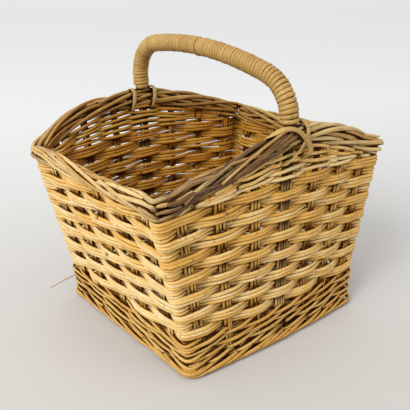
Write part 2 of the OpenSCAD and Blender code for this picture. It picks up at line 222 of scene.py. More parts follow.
def cane_tree():
    """The tree that sweeps a section along every path of a piece."""
    tree = bpy.data.node_groups.new("Canes along paths", "GeometryNodeTree")
    face = tree.interface
    face.new_socket("Paths", in_out="INPUT", socket_type="NodeSocketGeometry")
    for name, kind, value in (
        ("Width", "NodeSocketFloat", 0.0034),
        ("Thickness", "NodeSocketFloat", 0.0034),
        ("Section sides", "NodeSocketInt", 8),
        ("Waver", "NodeSocketFloat", 0.0004),
        ("Waver length", "NodeSocketFloat", 0.05),
        ("Seed", "NodeSocketFloat", 1.0),
        ("Material", "NodeSocketMaterial", None),
    ):
        socket = face.new_socket(name, in_out="INPUT", socket_type=kind)
        if value is not None:
            socket.default_value = value
    face.new_socket("Canes", in_out="OUTPUT", socket_type="NodeSocketGeometry")
    given = add(tree, "NodeGroupInput").outputs
    tone, facing, thick = (
        add(tree, "GeometryNodeInputNamedAttribute", {"Name": name}, data_type=kind).outputs[0]
        for name, kind in (("tone", "FLOAT"), ("facing", "FLOAT_VECTOR"), ("thick", "FLOAT"))
    )
    # Each cane wavers in its own way: its tone and the seed pick a place in the noise.
    tones_apart, noise_swing = 37.0, 4.0
    pick = add(
        tree, "ShaderNodeMath", {0: tone, 1: tones_apart, 2: given["Seed"]}, operation="MULTIPLY_ADD"
    ).outputs[0]
    fine = add(
        tree, "ShaderNodeMath", {0: 1.0, 1: given["Waver length"]}, operation="DIVIDE"
    ).outputs[0]
    path_place = add(tree, "GeometryNodeInputPosition").outputs[0]
    noise = add(
        tree, "ShaderNodeTexNoise",
        {"Vector": path_place, "W": pick, "Scale": fine, "Detail": 1.0},
        noise_dimensions="4D",
    ).outputs["Color"]
    about = add(
        tree, "ShaderNodeVectorMath", {0: noise, 1: (0.5, 0.5, 0.5)}, operation="SUBTRACT"
    ).outputs[0]
    reach = add(
        tree, "ShaderNodeMath", {0: given["Waver"], 1: noise_swing}, operation="MULTIPLY"
    ).outputs[0]
    shift = add(tree, "ShaderNodeVectorMath", {0: about, "Scale": reach}, operation="SCALE").outputs[0]
    moved = add(tree, "GeometryNodeSetPosition", {"Geometry": given["Paths"], "Offset": shift})
    line = add(tree, "GeometryNodeMeshToCurve", {"Mesh": moved.outputs[0]})
    faced = add(tree, "GeometryNodeSetCurveNormal", {"Curve": line.outputs[0]}, mode="FREE")
    tree.links.new(facing, faced.inputs["Normal"])
    # The section is a circle of radius 1, which remembers its shape before it is scaled.
    circle = add(
        tree, "GeometryNodeCurvePrimitiveCircle", {"Resolution": given["Section sides"], "Radius": 1.0}
    )
    circle_place = add(tree, "GeometryNodeInputPosition").outputs[0]
    ring = add(
        tree, "GeometryNodeStoreNamedAttribute",
        {"Geometry": circle.outputs[0], "Name": "ring", "Value": circle_place},
        data_type="FLOAT_VECTOR", domain="POINT",
    )
    size = add(tree, "ShaderNodeCombineXYZ", {"X": given["Thickness"], "Y": given["Width"], "Z": 1.0})
    half = add(tree, "ShaderNodeVectorMath", {0: size.outputs[0], "Scale": 0.5}, operation="SCALE")
    section = add(tree, "GeometryNodeTransform", {"Geometry": ring.outputs[0], "Scale": half.outputs[0]})
    swept = add(
        tree, "GeometryNodeCurveToMesh",
        {"Curve": faced.outputs[0], "Profile Curve": section.outputs[0], "Scale": thick, "Fill Caps": True},
    )
    # Only the faces along a cane are smooth. They have four corners, and its cut ends more.
    corners = add(tree, "GeometryNodeInputMeshFaceNeighbors").outputs["Vertex Count"]
    round_part = add(
        tree, "FunctionNodeCompare", {2: corners, 3: 4}, data_type="INT", operation="EQUAL"
    ).outputs[0]
    smooth = add(
        tree, "GeometryNodeSetShadeSmooth", {"Geometry": swept.outputs[0], "Shade Smooth": round_part}
    )
    real = add(tree, "GeometryNodeRealizeInstances", {"Geometry": smooth.outputs[0]})
    done = add(
        tree, "GeometryNodeSetMaterial", {"Geometry": real.outputs[0], "Material": given["Material"]}
    )
    add(tree, "NodeGroupOutput", {0: done.outputs[0]})
    return tree


canes_along_paths = cane_tree()
print("tree:", canes_along_paths.name, len(canes_along_paths.nodes), "nodes")

# %% [markdown]
# A piece is a list of canes. Each is a path in millimetres with a tone, which picks its
# shade, a thickness share along it, how weathered it is, and a direction that a flat
# strip faces. They could be one object each, but a piece that is one mesh is quicker to
# sweep and simpler to hand over.

# %% From a list of canes to a finished piece
tip_len = 2.5
pieces = []


def cane(path, tone=None, thick=1.0, facing=None, grey=0.0):
    """One cane: its path and what the tree and the material need to know of it."""
    path = np.asarray(path, float)
    n = len(path)
    if facing is None:
        facing = np.gradient(path, axis=0)[:, [1, 0, 2]] * (1, -1, 0) + (0, 0, 1e-4)
    return {
        "path": path,
        "tone": np.full(n, rng.random() if tone is None else tone),
        "thick": np.broadcast_to(np.asarray(thick, float), n),
        "grey": np.broadcast_to(np.asarray(grey, float), n),
        "facing": np.broadcast_to(np.asarray(facing, float), (n, 3)),
    }


def paths_mesh(name, canes):
    """The canes as lines of edges, with what is known of each point as attributes."""
    mesh = bpy.data.meshes.new(name)
    counts = [len(c["path"]) for c in canes]
    first = np.cumsum([0] + counts[:-1])
    edges = [(i + k, i + k + 1) for i, n in zip(first, counts) for k in range(n - 1)]
    mesh.from_pydata((np.concatenate([c["path"] for c in canes]) * MM).tolist(), edges, [])
    steps = [np.linalg.norm(np.diff(c["path"], axis=0), axis=1) for c in canes]
    along = [np.append(0, np.cumsum(step)) * MM for step in steps]
    tips = [np.clip(1 - np.minimum(run, run[-1] - run) / (tip_len * MM), 0, 1) for run in along]
    values = {"along": np.concatenate(along), "tip": np.concatenate(tips)}
    values.update({key: np.concatenate([c[key] for c in canes]) for key in ("tone", "thick", "grey")})
    for key, data in values.items():
        mesh.attributes.new(key, "FLOAT", "POINT").data.foreach_set("value", data.astype(np.float32))
    facing = np.concatenate([c["facing"] for c in canes]).astype(np.float32)
    mesh.attributes.new("facing", "FLOAT_VECTOR", "POINT").data.foreach_set("vector", facing.ravel())
    return mesh


def lay(
    name, canes, material, node_names, width, waver, thickness=None, sides=8, wave_len=45.0
):
    """Sweeps the canes of one piece and hands it to the frame."""
    piece = bpy.data.objects.new(name, paths_mesh(name, canes))
    scene.collection.objects.link(piece)
    modifier = piece.modifiers.new("sweep", "NODES")
    modifier.node_group = canes_along_paths
    wanted = {
        "Width": width * MM, "Thickness": (thickness or width) * MM, "Section sides": sides,
        "Waver": waver * MM, "Waver length": wave_len * MM, "Seed": float(len(canes)), "Material": material,
    }
    for item in canes_along_paths.interface.items_tree:
        if item.in_out == "INPUT" and item.name in wanted:
            modifier[item.identifier] = wanted[item.name]
    shape = bpy.data.meshes.new_from_object(piece.evaluated_get(bpy.context.evaluated_depsgraph_get()))
    piece.modifiers.clear()
    piece.data = shape
    shape.name = name
    for key in ("thick", "facing"):
        if key in shape.attributes:
            shape.attributes.remove(shape.attributes[key])
    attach(piece, "root")
    if node_names:
        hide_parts(*node_names)
    print(name, len(canes), "canes,", sum(len(p.vertices) - 2 for p in shape.polygons), "triangles")
    pieces.append((piece, sides))


# %% [markdown]
# Rattan, peeled and dried, is a pale wood of long straight fibres. To the eye it gives
# fine streaks along each cane, a dark ring at each node of the plant, small dark specks,
# a satin shine, and canes that differ from straw to brown. All of these are drawn from
# the place along and round the cane, so they follow each bend. Painted light makes faces
# towards the left end and the back paler. What faces into the basket, or lies deep in the
# weave, gets painted shade of a darker brown.

# %% Grain and shade of a cane
# Map Range takes a value as 0, the range that it reads as 1 and 2, and gives 3 to 4.
# Mix takes its share as 0 and two colours as 6 and 7, and gives a colour as 2.
patch_mm = 26.316
# Faces turned this way are painted paler, and faces turned away browner: painted light and shade.
lit_side = (-0.75, 0.66, 0.0)


def colour(text):
    """An sRGB hex colour as linear RGBA."""
    parts = [int(text[i : i + 2], 16) / 255 for i in (1, 3, 5)]
    return tuple(c / 12.92 if c <= 0.04045 else ((c + 0.055) / 1.055) ** 2.4 for c in parts) + (1.0,)


def grain(tree, read, girth_mm, streak_mm, streak_len_mm):
    """Streaks: the section's circle in streak widths, the length in streak lengths."""
    tones_apart = 61.0
    circle = add(
        tree, "ShaderNodeVectorMath", {0: read["ring"], "Scale": girth_mm / streak_mm}, operation="SCALE"
    ).outputs[0]
    length = add(
        tree, "ShaderNodeMath", {0: read["along"], 1: 1000 / streak_len_mm}, operation="MULTIPLY"
    ).outputs[0]
    own_length = add(
        tree, "ShaderNodeMath", {0: read["tone"], 1: tones_apart, 2: length}, operation="MULTIPLY_ADD"
    ).outputs[0]
    along_z = add(tree, "ShaderNodeCombineXYZ", {"Z": own_length}).outputs[0]
    place = add(tree, "ShaderNodeVectorMath", {0: circle, 1: along_z}, operation="ADD").outputs[0]
    noise = add(
        tree, "ShaderNodeTexNoise", {"Vector": place, "Scale": 1.0, "Detail": 3.0, "Roughness": 0.6}
    ).outputs["Fac"]
    return add(tree, "ShaderNodeMapRange", {0: noise, 1: 0.3, 2: 0.7}).outputs[0]


def cane_shade(tree, read, streak, place, pale, honey, brown):
    """The tone of the cane, moved by the streaks and by slow change along it."""
    slow = add(
        tree, "ShaderNodeTexNoise",
        {"Vector": place["Object"], "Scale": 1000 / patch_mm, "Detail": 2.0},
    ).outputs["Fac"]
    # Painted light: faces towards the left end and the back are paler, those towards the front browner.
    lit_facing = add(
        tree, "ShaderNodeVectorMath", {0: place["Normal"], 1: lit_side}, operation="DOT_PRODUCT"
    ).outputs["Value"]
    shade = read["tone"]
    for part, weight in ((streak, 0.6), (slow, 0.7), (lit_facing, -0.2)):
        shade = add(
            tree, "ShaderNodeMath", {0: part, 1: weight, 2: shade}, operation="MULTIPLY_ADD"
        ).outputs[0]
    shade = add(tree, "ShaderNodeMapRange", {0: shade, 1: 0.42, 2: 2.15}).outputs[0]
    ramp = add(tree, "ShaderNodeValToRGB", {"Fac": shade})
    stops = ramp.color_ramp.elements
    stops[0].position, stops[0].color = 0.12, colour(pale)
    stops[1].position, stops[1].color = 0.95, colour(brown)
    stops.new(0.5).color = colour(honey)
    return ramp.outputs[0]


# %% Weather, marks and shelter on a cane
bark, dark_mark, cut_end = "#3a2a14", "#4a2e12", "#6d4d24"
# Colours of painted shade, for faces into the basket and for the cracks deep in the weave.
inside_shade_colour, crevice_shade_colour = "#d6bb62", "#5e3306"
speck_mm, ring_edge_mm, ring_core_mm = 2.381, 1.6, 0.4


def weathered(tree, read, streak, skin, grey):
    """Weathered canes turn grey, and dark lines of bark are left on them."""
    worn = add(tree, "ShaderNodeMath", {0: streak, 1: 1.1, 2: 0.35}, operation="MULTIPLY_ADD").outputs[0]
    left = add(tree, "ShaderNodeMapRange", {0: streak, 1: 0.6, 2: 0.85, 3: 0.0, 4: 0.75}).outputs[0]
    for amount, shade in ((worn, grey), (left, bark)):
        share = add(
            tree, "ShaderNodeMath", {0: amount, 1: read["grey"]}, operation="MULTIPLY", use_clamp=True
        ).outputs[0]
        skin = add(
            tree, "ShaderNodeMix", {0: share, 6: skin, 7: colour(shade)}, data_type="RGBA"
        ).outputs[2]
    return skin


def node_rings(tree, read, node_mm):
    """A thin line at each node of the plant. The beat runs to 1 and back from node to node."""
    beats_a_mm, tones_apart = 2 / node_mm, 7.3
    beat = add(
        tree, "ShaderNodeMath", {0: read["along"], 1: 1000 * beats_a_mm}, operation="MULTIPLY"
    ).outputs[0]
    beat = add(
        tree, "ShaderNodeMath", {0: read["tone"], 1: tones_apart, 2: beat}, operation="MULTIPLY_ADD"
    ).outputs[0]
    beat = add(tree, "ShaderNodeMath", {0: beat, 1: 1.0}, operation="PINGPONG").outputs[0]
    edge, core = ring_edge_mm * beats_a_mm, ring_core_mm * beats_a_mm
    return add(tree, "ShaderNodeMapRange", {0: beat, 1: edge, 2: core}).outputs[0]


def marked(tree, read, skin, rings, place):
    """The rings, small dark specks, and browner cut ends."""
    speck = add(
        tree, "ShaderNodeTexNoise",
        {"Vector": place["Object"], "Scale": 1000 / speck_mm, "Detail": 0.0},
    ).outputs["Fac"]
    speck = add(tree, "ShaderNodeMapRange", {0: speck, 1: 0.72, 2: 0.78}).outputs[0]
    mark = add(tree, "ShaderNodeMath", {0: rings, 1: speck}, operation="MAXIMUM").outputs[0]
    for amount, strength, shade in ((mark, 0.38, dark_mark), (read["tip"], 0.5, cut_end)):
        share = add(tree, "ShaderNodeMath", {0: amount, 1: strength}, operation="MULTIPLY").outputs[0]
        skin = add(
            tree, "ShaderNodeMix", {0: share, 6: skin, 7: colour(shade)}, data_type="RGBA"
        ).outputs[2]
    return skin


def painted_shade(tree, skin, crevice_shade, place, inside_shade_share):
    """Painted shade: darker where a cane faces the basket's middle, and where it lies deep in the weave."""
    level = add(
        tree, "ShaderNodeVectorMath", {0: place["Object"], 1: (1, 1, 0)}, operation="MULTIPLY"
    ).outputs[0]
    level = add(tree, "ShaderNodeVectorMath", {0: level}, operation="NORMALIZE").outputs[0]
    away = add(
        tree, "ShaderNodeVectorMath", {0: level, 1: place["Normal"]}, operation="DOT_PRODUCT"
    ).outputs["Value"]
    inward_shade = add(
        tree, "ShaderNodeMapRange", {0: away, 1: 0.05, 2: -0.5, 3: 0.0, 4: inside_shade_share}
    ).outputs[0]
    for share, tint in ((inward_shade, inside_shade_colour), (crevice_shade, crevice_shade_colour)):
        skin = add(
            tree, "ShaderNodeMix", {0: share, 6: skin, 7: colour(tint)},
            data_type="RGBA", blend_type="MULTIPLY",
        ).outputs[2]
    return skin


# %% Rattan


def rattan(
    name, pale, honey, brown, grey, girth_mm=1.9, streak_mm=0.55, streak_len_mm=26.0,
    node_mm=240.0, rough=0.5, inside_shade_share=1.0, full_shade_depth=0.55,
):
    """Peeled rattan: four shades, grain along the cane, node rings, specks and painted shade in cracks."""
    material = bpy.data.materials.new(name)
    material.use_nodes = True
    tree = material.node_tree
    shader = tree.nodes["Principled BSDF"]
    shader.inputs["IOR"].default_value = 1.5
    read = {
        key: add(tree, "ShaderNodeAttribute", attribute_name=key).outputs["Fac"]
        for key in ("along", "tone", "tip", "grey", "deep")
    }
    read["ring"] = add(tree, "ShaderNodeAttribute", attribute_name="ring").outputs["Vector"]
    place = add(tree, "ShaderNodeTexCoord").outputs
    streak = grain(tree, read, girth_mm, streak_mm, streak_len_mm)
    rings = node_rings(tree, read, node_mm)
    # Painted shade in the cracks: its share grows with how deep the place lies in the weave.
    crevice_shade = add(
        tree, "ShaderNodeMapRange", {0: read["deep"], 1: 0.15, 2: full_shade_depth, 3: 0.0, 4: 0.95}
    ).outputs[0]
    skin = cane_shade(tree, read, streak, place, pale, honey, brown)
    skin = weathered(tree, read, streak, skin, grey)
    skin = marked(tree, read, skin, rings, place)
    skin = painted_shade(tree, skin, crevice_shade, place, inside_shade_share)
    gloss = add(
        tree, "ShaderNodeMapRange", {0: streak, 1: 0.3, 2: 0.7, 3: rough - 0.08, 4: rough + 0.12}
    ).outputs[0]
    # The shine is turned down where the painted shade of the cracks lies.
    shine = add(tree, "ShaderNodeMapRange", {0: crevice_shade, 1: 0.0, 2: 0.6, 3: 0.5, 4: 0.08}).outputs[0]
    relief = add(
        tree, "ShaderNodeMath", {0: rings, 1: 2.0, 2: streak}, operation="MULTIPLY_ADD"
    ).outputs[0]
    bump = add(tree, "ShaderNodeBump", {"Strength": 0.5, "Distance": 0.4 * MM, "Height": relief}).outputs[0]
    for key, socket in (
        ("Base Color", skin), ("Roughness", gloss), ("Specular IOR Level", shine), ("Normal", bump)
    ):
        tree.links.new(socket, shader.inputs[key])
    return material


# Each rattan sets how strong its painted shade is on faces into the basket and in its cracks.
side_rattan = rattan("rattan_peeled_honey", "#ebd29b", "#dba849", "#a0651a", "#b3a06c")
# The foot's rattan is a darker copy of the sides': painted shade, for the low light near the floor.
foot_rattan = rattan(
    "rattan_peeled_foot", "#d5ae63", "#c08b31", "#8a5816", "#8d734a", girth_mm=2.2, full_shade_depth=0.4
)
rim_rattan = rattan(
    "rattan_weathered_rim", "#e0c281", "#bd842d", "#784912", "#55340f",
    girth_mm=2.4, inside_shade_share=0.6, full_shade_depth=0.45,
)
base_rattan = rattan("rattan_base", "#cfa863", "#b08343", "#7f5727", "#8d7549", inside_shade_share=0.0)
rod_rattan = rattan(
    "rattan_rod", "#c7a062", "#a67d45", "#7a5729", "#7d6c4a", girth_mm=2.0, inside_shade_share=0.0
)
strip_rattan = rattan(
    "rattan_split_strip", "#bb9a57", "#a67d37", "#805722", "#8a7347",
    girth_mm=3.5, streak_mm=0.8, node_mm=520.0, rough=0.42, inside_shade_share=0.0,
)
fibre_rattan = rattan(
    "rattan_fibre_rust", "#b0682c", "#96521f", "#703a12", "#9a6a40", girth_mm=0.4, inside_shade_share=0.0
)
print("rattans:", [m.name for m in bpy.data.materials if m.name.startswith("rattan")])

# %% [markdown]
# The sides are thirteen courses. Each is a band of three canes that passes outside one
# group of stakes and inside the next, and the next course does the opposite. The three
# lie apart on the float and draw together between two groups. On the front and the left
# end the floats were beaten closer, with taller holes between them. No stake stands in a
# corner, so there every course swells out, more so towards the rim. On the handle sides
# the upper courses climb a little towards the handle. A texture on a plain wall would be
# quicker, but light has to fall through the real holes.

# %% How a course passes the stakes
hold, handle_climb, climb_power = 0.12, 10.0, 1.6


def swing(u, course):
    """1 outside a group and -1 inside it, with a smooth change between two groups."""
    k = np.floor(u)
    f = np.clip((u - k - hold) / (1 - 2 * hold), 0, 1)
    here = np.where((k + course) % 2 == 0, 1.0, -1.0)
    return here * (1 - 2 * ease(f))


def course_rise(v):
    """The top course climbs this much towards the handle, and the lower ones share in it."""
    climb = handle_climb * (1 - np.abs(share_along(v)) ** climb_power)
    return np.where(side_of(v) % 2 == 0, climb, 0.0)


print("top course climbs", course_rise(np.array([0.0, 0.25, 0.5])).round(1), "mm")

# %% Courses of the sides
# Where the floats are beaten close: 1 on the front, half as much on the left end.
close_v = (0.0, 0.97, 1.03, 2.97, 3.03, 3.97, 4.0)
close_by = (1.0, 1.0, 0.0, 0.0, 0.5, 0.5, 1.0)
weave_out, weave_corner, weave_round = 3.9, 12.0, 8.0
swell_low, swell_more, swell_swing = 1.7, 6.4, 0.8
apart_least, apart_float, apart_close, apart_loose = 3.75, 0.3, 0.15, 0.2
# The end of a cane lies over its own start, outside it and a little higher.
points_a_group, overlap, end_run = 10, 0.7, 0.5
late_out, late_up, early_in, early_down = 2.2, 0.9, 0.9, 0.4
start_past, middle_out, loose_thick, close_thinner = 0.35, 0.35, 1.04, 0.14
n = round(points_a_group * (group_count + overlap))
course_canes = []
for course in range(courses):
    middle = weave_z + (course + 0.5) * course_p
    swell = swell_low + swell_more * course / (courses - 1)
    sway = drift(n, 26, 0.4)
    for c in (-1, 0, 1):
        u = rng.integers(group_count) + start_past + np.linspace(0, group_count + overlap, n)
        v = v_of(u)
        late = np.clip((u - u[0] - group_count) / end_run, 0, 1)
        early = np.clip(1 - (u - u[0]) / end_run, 0, 1)
        pass_out, near, rise = swing(u, course), corner_near(v, middle, weave_corner), course_rise(v)
        out = weave_out * pass_out * (1 - near) + near * (swell + swell_swing * pass_out)
        out = out + middle_out * (c == 0) + late_out * late - early_in * early + drift(n, 40, 0.25)
        close = np.interp(v % 4, close_v, close_by)
        apart = apart_least + apart_float * np.abs(pass_out) - apart_close * close * (1 + 3 * pass_out)
        apart = apart + apart_loose * (1 - close)
        z = middle + c * apart * (1 + rise / weave_h) + late_up * late - early_down * early
        z = z + drift(n, 30, 0.22) + sway
        z = z + rise * (course + 0.5) / courses
        thick = (1 + drift(n, 9, 0.05)) * (loose_thick - close_thinner * close)
        path = around(v, out, z, weave_round)
        course_canes.append(cane(path, tone=rng.uniform(0.2, 0.68), thick=thick))
lay("side_courses", course_canes, side_rattan, ["woven_sides"], width=4.6, waver=0.2)

# %% [markdown]
# The stakes stand in groups of three. The middle group of each handle side is the leg of
# the handle, with four greyer rods. Straight rods would do, but hand-set stakes lean and
# drift a little, so each has its own path.

# %% Stakes
stake_low, stake_under, stake_apart, leg_grey = 3.0, 9.0, 3.7, 0.6
n = 22
stake_canes = []
for k, v in enumerate(stake_v):
    side, in_group = int(v), 4 if k in legs else 3
    z = np.linspace(stake_low, float(rim_z(v)) - stake_under, n)
    for i in range(in_group):
        lean = (i - (in_group - 1) / 2) * stake_apart + rng.normal(0, 0.3)
        share = share_along(v) + (lean + drift(n, 3, 0.5)) / half_run(side, z)
        path = side_point(np.full(n, side), share, drift(n, 6, 0.3), z)
        # Stakes take browner tones than the courses: painted shade, as they stand back in the weave.
        stake_canes.append(cane(path, tone=rng.uniform(0.35, 0.95), grey=leg_grey if k in legs else 0.0))
lay("stakes", stake_canes, side_rattan, ["woven_sides"], width=3.2, waver=0.2)

# %% [markdown]
# Under the swept rim the handle sides are filled with short rows of single canes. They
# fan out from the corners, with light between them, and their cut ends show. They weave
# as the courses do, so they share the same swing past the stakes.

# %% Packing rows
far_shares = (0.93, 0.5, 0.74, 0.42, 0.86, 0.46, 0.66, 0.4, 0.8, 0.55)
back_longer, back_longest, back_fan = 0.3, 0.97, 2.4
row_z, row_out, tip_out, tip_share = rim_h - border_h + 1.8, 3.7, 4.2, 0.86
n = 100
packing = []
for side, rows in ((0, 8), (2, 10)):
    for row in range(rows):
        ends = far_shares[row] + rng.uniform(-0.06, 0.06, 2)
        if side == 2:
            ends[1] = min(back_longest, ends[1] + back_longer)
        q = np.linspace(-ends[0], ends[1], n)
        v = side + (q + 1) / 2
        u = np.interp(v, np.append(stake_v, 4.0), np.arange(group_count + 1))
        top_course = course_rise(v)
        lift = rim_rise * rise_share(v, back_fan) - top_course
        z = row_z + top_course + lift * (row + 0.3) / rows + drift(n, 8, 0.8)
        tips = np.clip((np.abs(q) / np.where(q < 0, *ends) - tip_share) / (1 - tip_share), 0, 1)
        out = row_out * swing(u, row + 1) * (1 - tips) + tip_out * tips
        path = side_point(np.full(n, side), q, out, z)
        packing.append(cane(path, tone=rng.uniform(0, 0.55), thick=1 + drift(n, 4, 0.08)))
lay("packing_rows", packing, side_rattan, ["woven_sides"], width=4.3, waver=0.5)

# %% [markdown]
# The foot is four waled rows: three canes that pass one over the other, outside two
# groups of stakes and inside the next, so that each shows as long slanting floats with
# dark gaps. On the handle sides the floats rise to the right, and on the ends they fall.
# A rope texture would look flat here. Three paths that turn about each other give the
# same twist that the hand gave.

# %% Waled rows
slant = np.array([0.0, 2.33, 0.67, 3.0, 1.33])
foot_shades = (0.05, 0.65)
wale_z, wale_p, wale_up, wale_out, wale_swell = 14.5, 9.6, 3.6, 4.8, 2.6
wale_mid, wale_corner, wale_round = 30.0, 12.0, 8.0
# A cane goes a little more than once round. The next strand and the next row start later.
wale_run, strand_later, row_later, row_turn = 4.1, 0.13, 0.4, 0.37
wale_nodes = ["foot_wale_1", "foot_wale_2", "foot_wale_3", "foot_wale_4"]
n = points_a_group * group_count


def slanted(v, share=1.0):
    """Turns that a foot cane has made by a place round the basket."""
    lap = np.floor(v / 4)
    return share * (np.interp(v - 4 * lap, np.arange(5), slant) + lap * slant[4])


wales = []
for row in range(len(wale_nodes)):
    for strand in range(3):
        v = np.linspace(0, wale_run, n) + strand * strand_later + row * row_later
        phase = 2 * np.pi * (slanted(v) + strand / 3 + row_turn * row) + drift(n, 18, 0.3)
        near = corner_near(v, wale_mid, wale_corner)
        out = wale_out * np.cos(phase) * (1 - 0.6 * near) + wale_swell * near + drift(n, 20, 0.4)
        z = wale_z + wale_p * row + wale_up * np.sin(phase) + drift(n, 18, 0.8)
        tone = rng.uniform(*foot_shades)
        wales.append(cane(around(v, out, z, wale_round), tone=tone, thick=1 + drift(n, 8, 0.09)))
lay("foot_wales", wales, foot_rattan, wale_nodes, width=3.9, waver=0.4)

# %% [markdown]
# Under the waled rows lies a border of thicker canes that the basket stands on. They roll
# round each other in the same way, more slowly.

# %% Bottom border
foot_strands, foot_roll, foot_run, foot_later, foot_round = 6, 0.75, 4.06, 0.21, 9.0
foot_mid_out, foot_mid_z, foot_out, foot_up = 2.2, 7.2, 6.2, 4.7
foot_canes = []
for strand in range(foot_strands):
    v = np.linspace(0, foot_run, n) + strand * foot_later
    phase = 2 * np.pi * (slanted(v, foot_roll) + strand / foot_strands) + drift(n, 14, 0.25)
    out = foot_mid_out + foot_out * np.cos(phase) + drift(n, 20, 0.4)
    z = foot_mid_z + foot_up * np.sin(phase)
    tone = rng.uniform(*foot_shades)
    foot_canes.append(cane(around(v, out, z, foot_round), tone=tone, thick=1 + drift(n, 8, 0.06)))
lay("bottom_border", foot_canes, foot_rattan, ["foot_border"], width=4.2, waver=0.12)

# %% [markdown]
# A single loose fibre has sprung out of the far left corner of the foot. It is a cane
# like the others, only thin, bowed and tapered.

# %% Loose fibre
fibre_root, fibre_end, fibre_bow = (-126.0, 121.0, 33.0), (-166.0, 136.0, 17.3), (0.0, 0.5, 1.2)
at = np.linspace(0, 1, 24)[:, None]
fibre_path = (1 - at) * fibre_root + at * fibre_end + np.sin(np.pi * at) * fibre_bow
fibre = [cane(fibre_path, tone=0.4, thick=1 - 0.45 * at[:, 0])]
lay("loose_fibre", fibre, fibre_rattan, [], width=1.4, waver=0.05, sides=6)

# %% [markdown]
# The base is a flat mat: groups of three sticks laid across, which go on up the sides as
# stakes, and bands of three canes laid along, woven over one group and under the next.
# It is a plain weave, so a cosine along each band is enough.

# %% Base mat
base_z, mat_gap, mat_bow = 14.0, 6.5, 6.4
sticks, stick_apart, stick_span = groups[0], 3.5, half_l(10.0)
bands, band_p, band_apart, band_up = 21, 11.18, 3.6, 2.3
inner_l = half_l(base_z) - mat_gap
base_canes = []
for k in range(sticks):
    for c in (-1, 0, 1):
        x = ((2 * k + 1) / sticks - 1) * stick_span + c * stick_apart
        reach = half_w(base_z) + mat_bow * (1 - (x / half_l(base_z)) ** 2) - mat_gap
        y = np.linspace(-reach, reach, 14)
        base_canes.append(cane(np.stack([x + 0 * y, y, base_z + 0 * y], -1)))
x = np.linspace(-inner_l, inner_l, 85)
stick_number = ((x / stick_span + 1) * sticks - 1) / 2
for i in range(bands):
    for c in (-1, 0, 1):
        y = (i - bands // 2) * band_p + c * band_apart + drift(len(x), 9, 0.35)
        wave = -np.cos(np.pi * (stick_number + i))
        base_canes.append(cane(np.stack([x, y, base_z + band_up * wave], -1)))
lay("base_mat_canes", base_canes, base_rattan, ["base_mat"], width=3.5, waver=0.25, sides=6)

# %% [markdown]
# The border is a bundle of long canes. Seven run all the way round and roll slowly over
# the others. Inside them each side has its own canes, which roll the other way and end
# at the corners, at the front right one with cut points that stand out. On the front
# left, canes have weathered grey, and six short ones and a thin tie cross over the
# bundle. Right of the handle the canes are paler. One thick ring with a texture would
# hide the gaps between the canes, so each has a path of its own.

# %% Long canes of the border
roll = np.array([0.0, 1.0, 0.2, 1.2, 0.35])
roll_out, roll_up = 6.1, 9.4
long_canes, long_size, long_swell, long_corner, long_round = 7, 1.04, 4.0, 16.0, 5.0
long_start, long_later, long_run = 2.2, 0.47, 4.04
long_wear = (0.6, 1.2, 0.8, 1.1)
# How weathered the canes are, and how much paler, by the place round the rim.
grey_v = (0.0, 0.06, 0.42, 0.55, 1.0, 2.0, 3.0, 3.3, 3.9, 4.0)
grey_by = (0.7, 1.1, 1.15, 0.3, 0.1, 0.3, 0.4, 0.1, 0.25, 0.7)
tone_by = (0.0, 0.0, 0.0, -0.3, -0.3, 0.0, 0.0, -0.08, 0.0, 0.0)


def border_mid(v):
    """Height of the middle of the border."""
    return rim_z(v) - border_h / 2


n = 340
border = []
for i in range(long_canes):
    v = long_start + long_later * i + np.linspace(0, long_run, n)
    lap = np.floor(v / 4)
    turns = np.interp(v - 4 * lap, np.arange(5), roll) + lap * roll[4] + i / long_canes
    girth = rng.uniform(0.95, 1.15)
    phase = 2 * np.pi * turns + drift(n, 9, 0.2)
    size = long_size * (1 + drift(n, 10, 0.06))
    out = roll_out * size * np.cos(phase) + long_swell * corner_near(v, rim_h, long_corner)
    z = border_mid(v) + roll_up * size * np.sin(phase) + drift(n, 12, 0.35)
    tone = rng.uniform(0.1, 0.75) + np.interp(v % 4, grey_v, tone_by)
    thick = girth * (1 + drift(n, 8, 0.06))
    wear = long_wear[i % 4] * np.interp(v % 4, grey_v, grey_by)
    border.append(cane(around(v, out, z, long_round), tone=tone, thick=thick, grey=wear))
print("long canes in the border:", len(border))

# %% Canes of each side in the border
ring_canes, heart_canes, ring_size, heart_size = 5, 2, 0.66, 0.25
counter_roll, corner_out, cut_rise, cut_from, point_least = 0.34, 3.0, 5.0, 0.8, 0.55
n = 90
for side in range(4):
    for i in range(ring_canes + heart_canes):
        past = 1.0 + rng.uniform(0, 0.03)
        begin = past if side == 1 else 1 + rng.uniform(-0.03, 0.01)
        end = past if side == 0 else 1 + rng.uniform(-0.03, 0.03 if side == 3 else 0.0)
        q = np.linspace(-begin, end, n)
        way = 1 if side % 2 == 0 else -1
        phase = 2 * np.pi * (i / ring_canes - counter_roll * q * way) + drift(n, 7, 0.2)
        size = (ring_size if i < ring_canes else heart_size) * (1 + drift(n, 8, 0.08))
        v = side + (np.clip(q, -1, 0.999) + 1) / 2
        z = border_mid(v) + roll_up * size * np.sin(phase) + drift(n, 9, 0.4)
        z = z + cut_rise * np.clip((q - cut_from) / (1 - cut_from), 0, 1) * (side == 0)
        out = roll_out * size * np.cos(phase) + corner_out * np.abs(q) ** 12
        point = np.clip((np.where(q < 0, begin, end) - np.abs(q)) * 30, point_least, 1)
        wear = rng.uniform(0.3, 1.25) * np.interp(v % 4, grey_v, grey_by)
        tone = rng.uniform(0, 0.8) + np.interp(v % 4, grey_v, tone_by)
        path = side_point(np.full(n, side), q, out, z)
        border.append(cane(path, tone=tone, thick=rng.uniform(0.95, 1.2) * point, grey=wear))
print("canes in the border so far:", len(border))

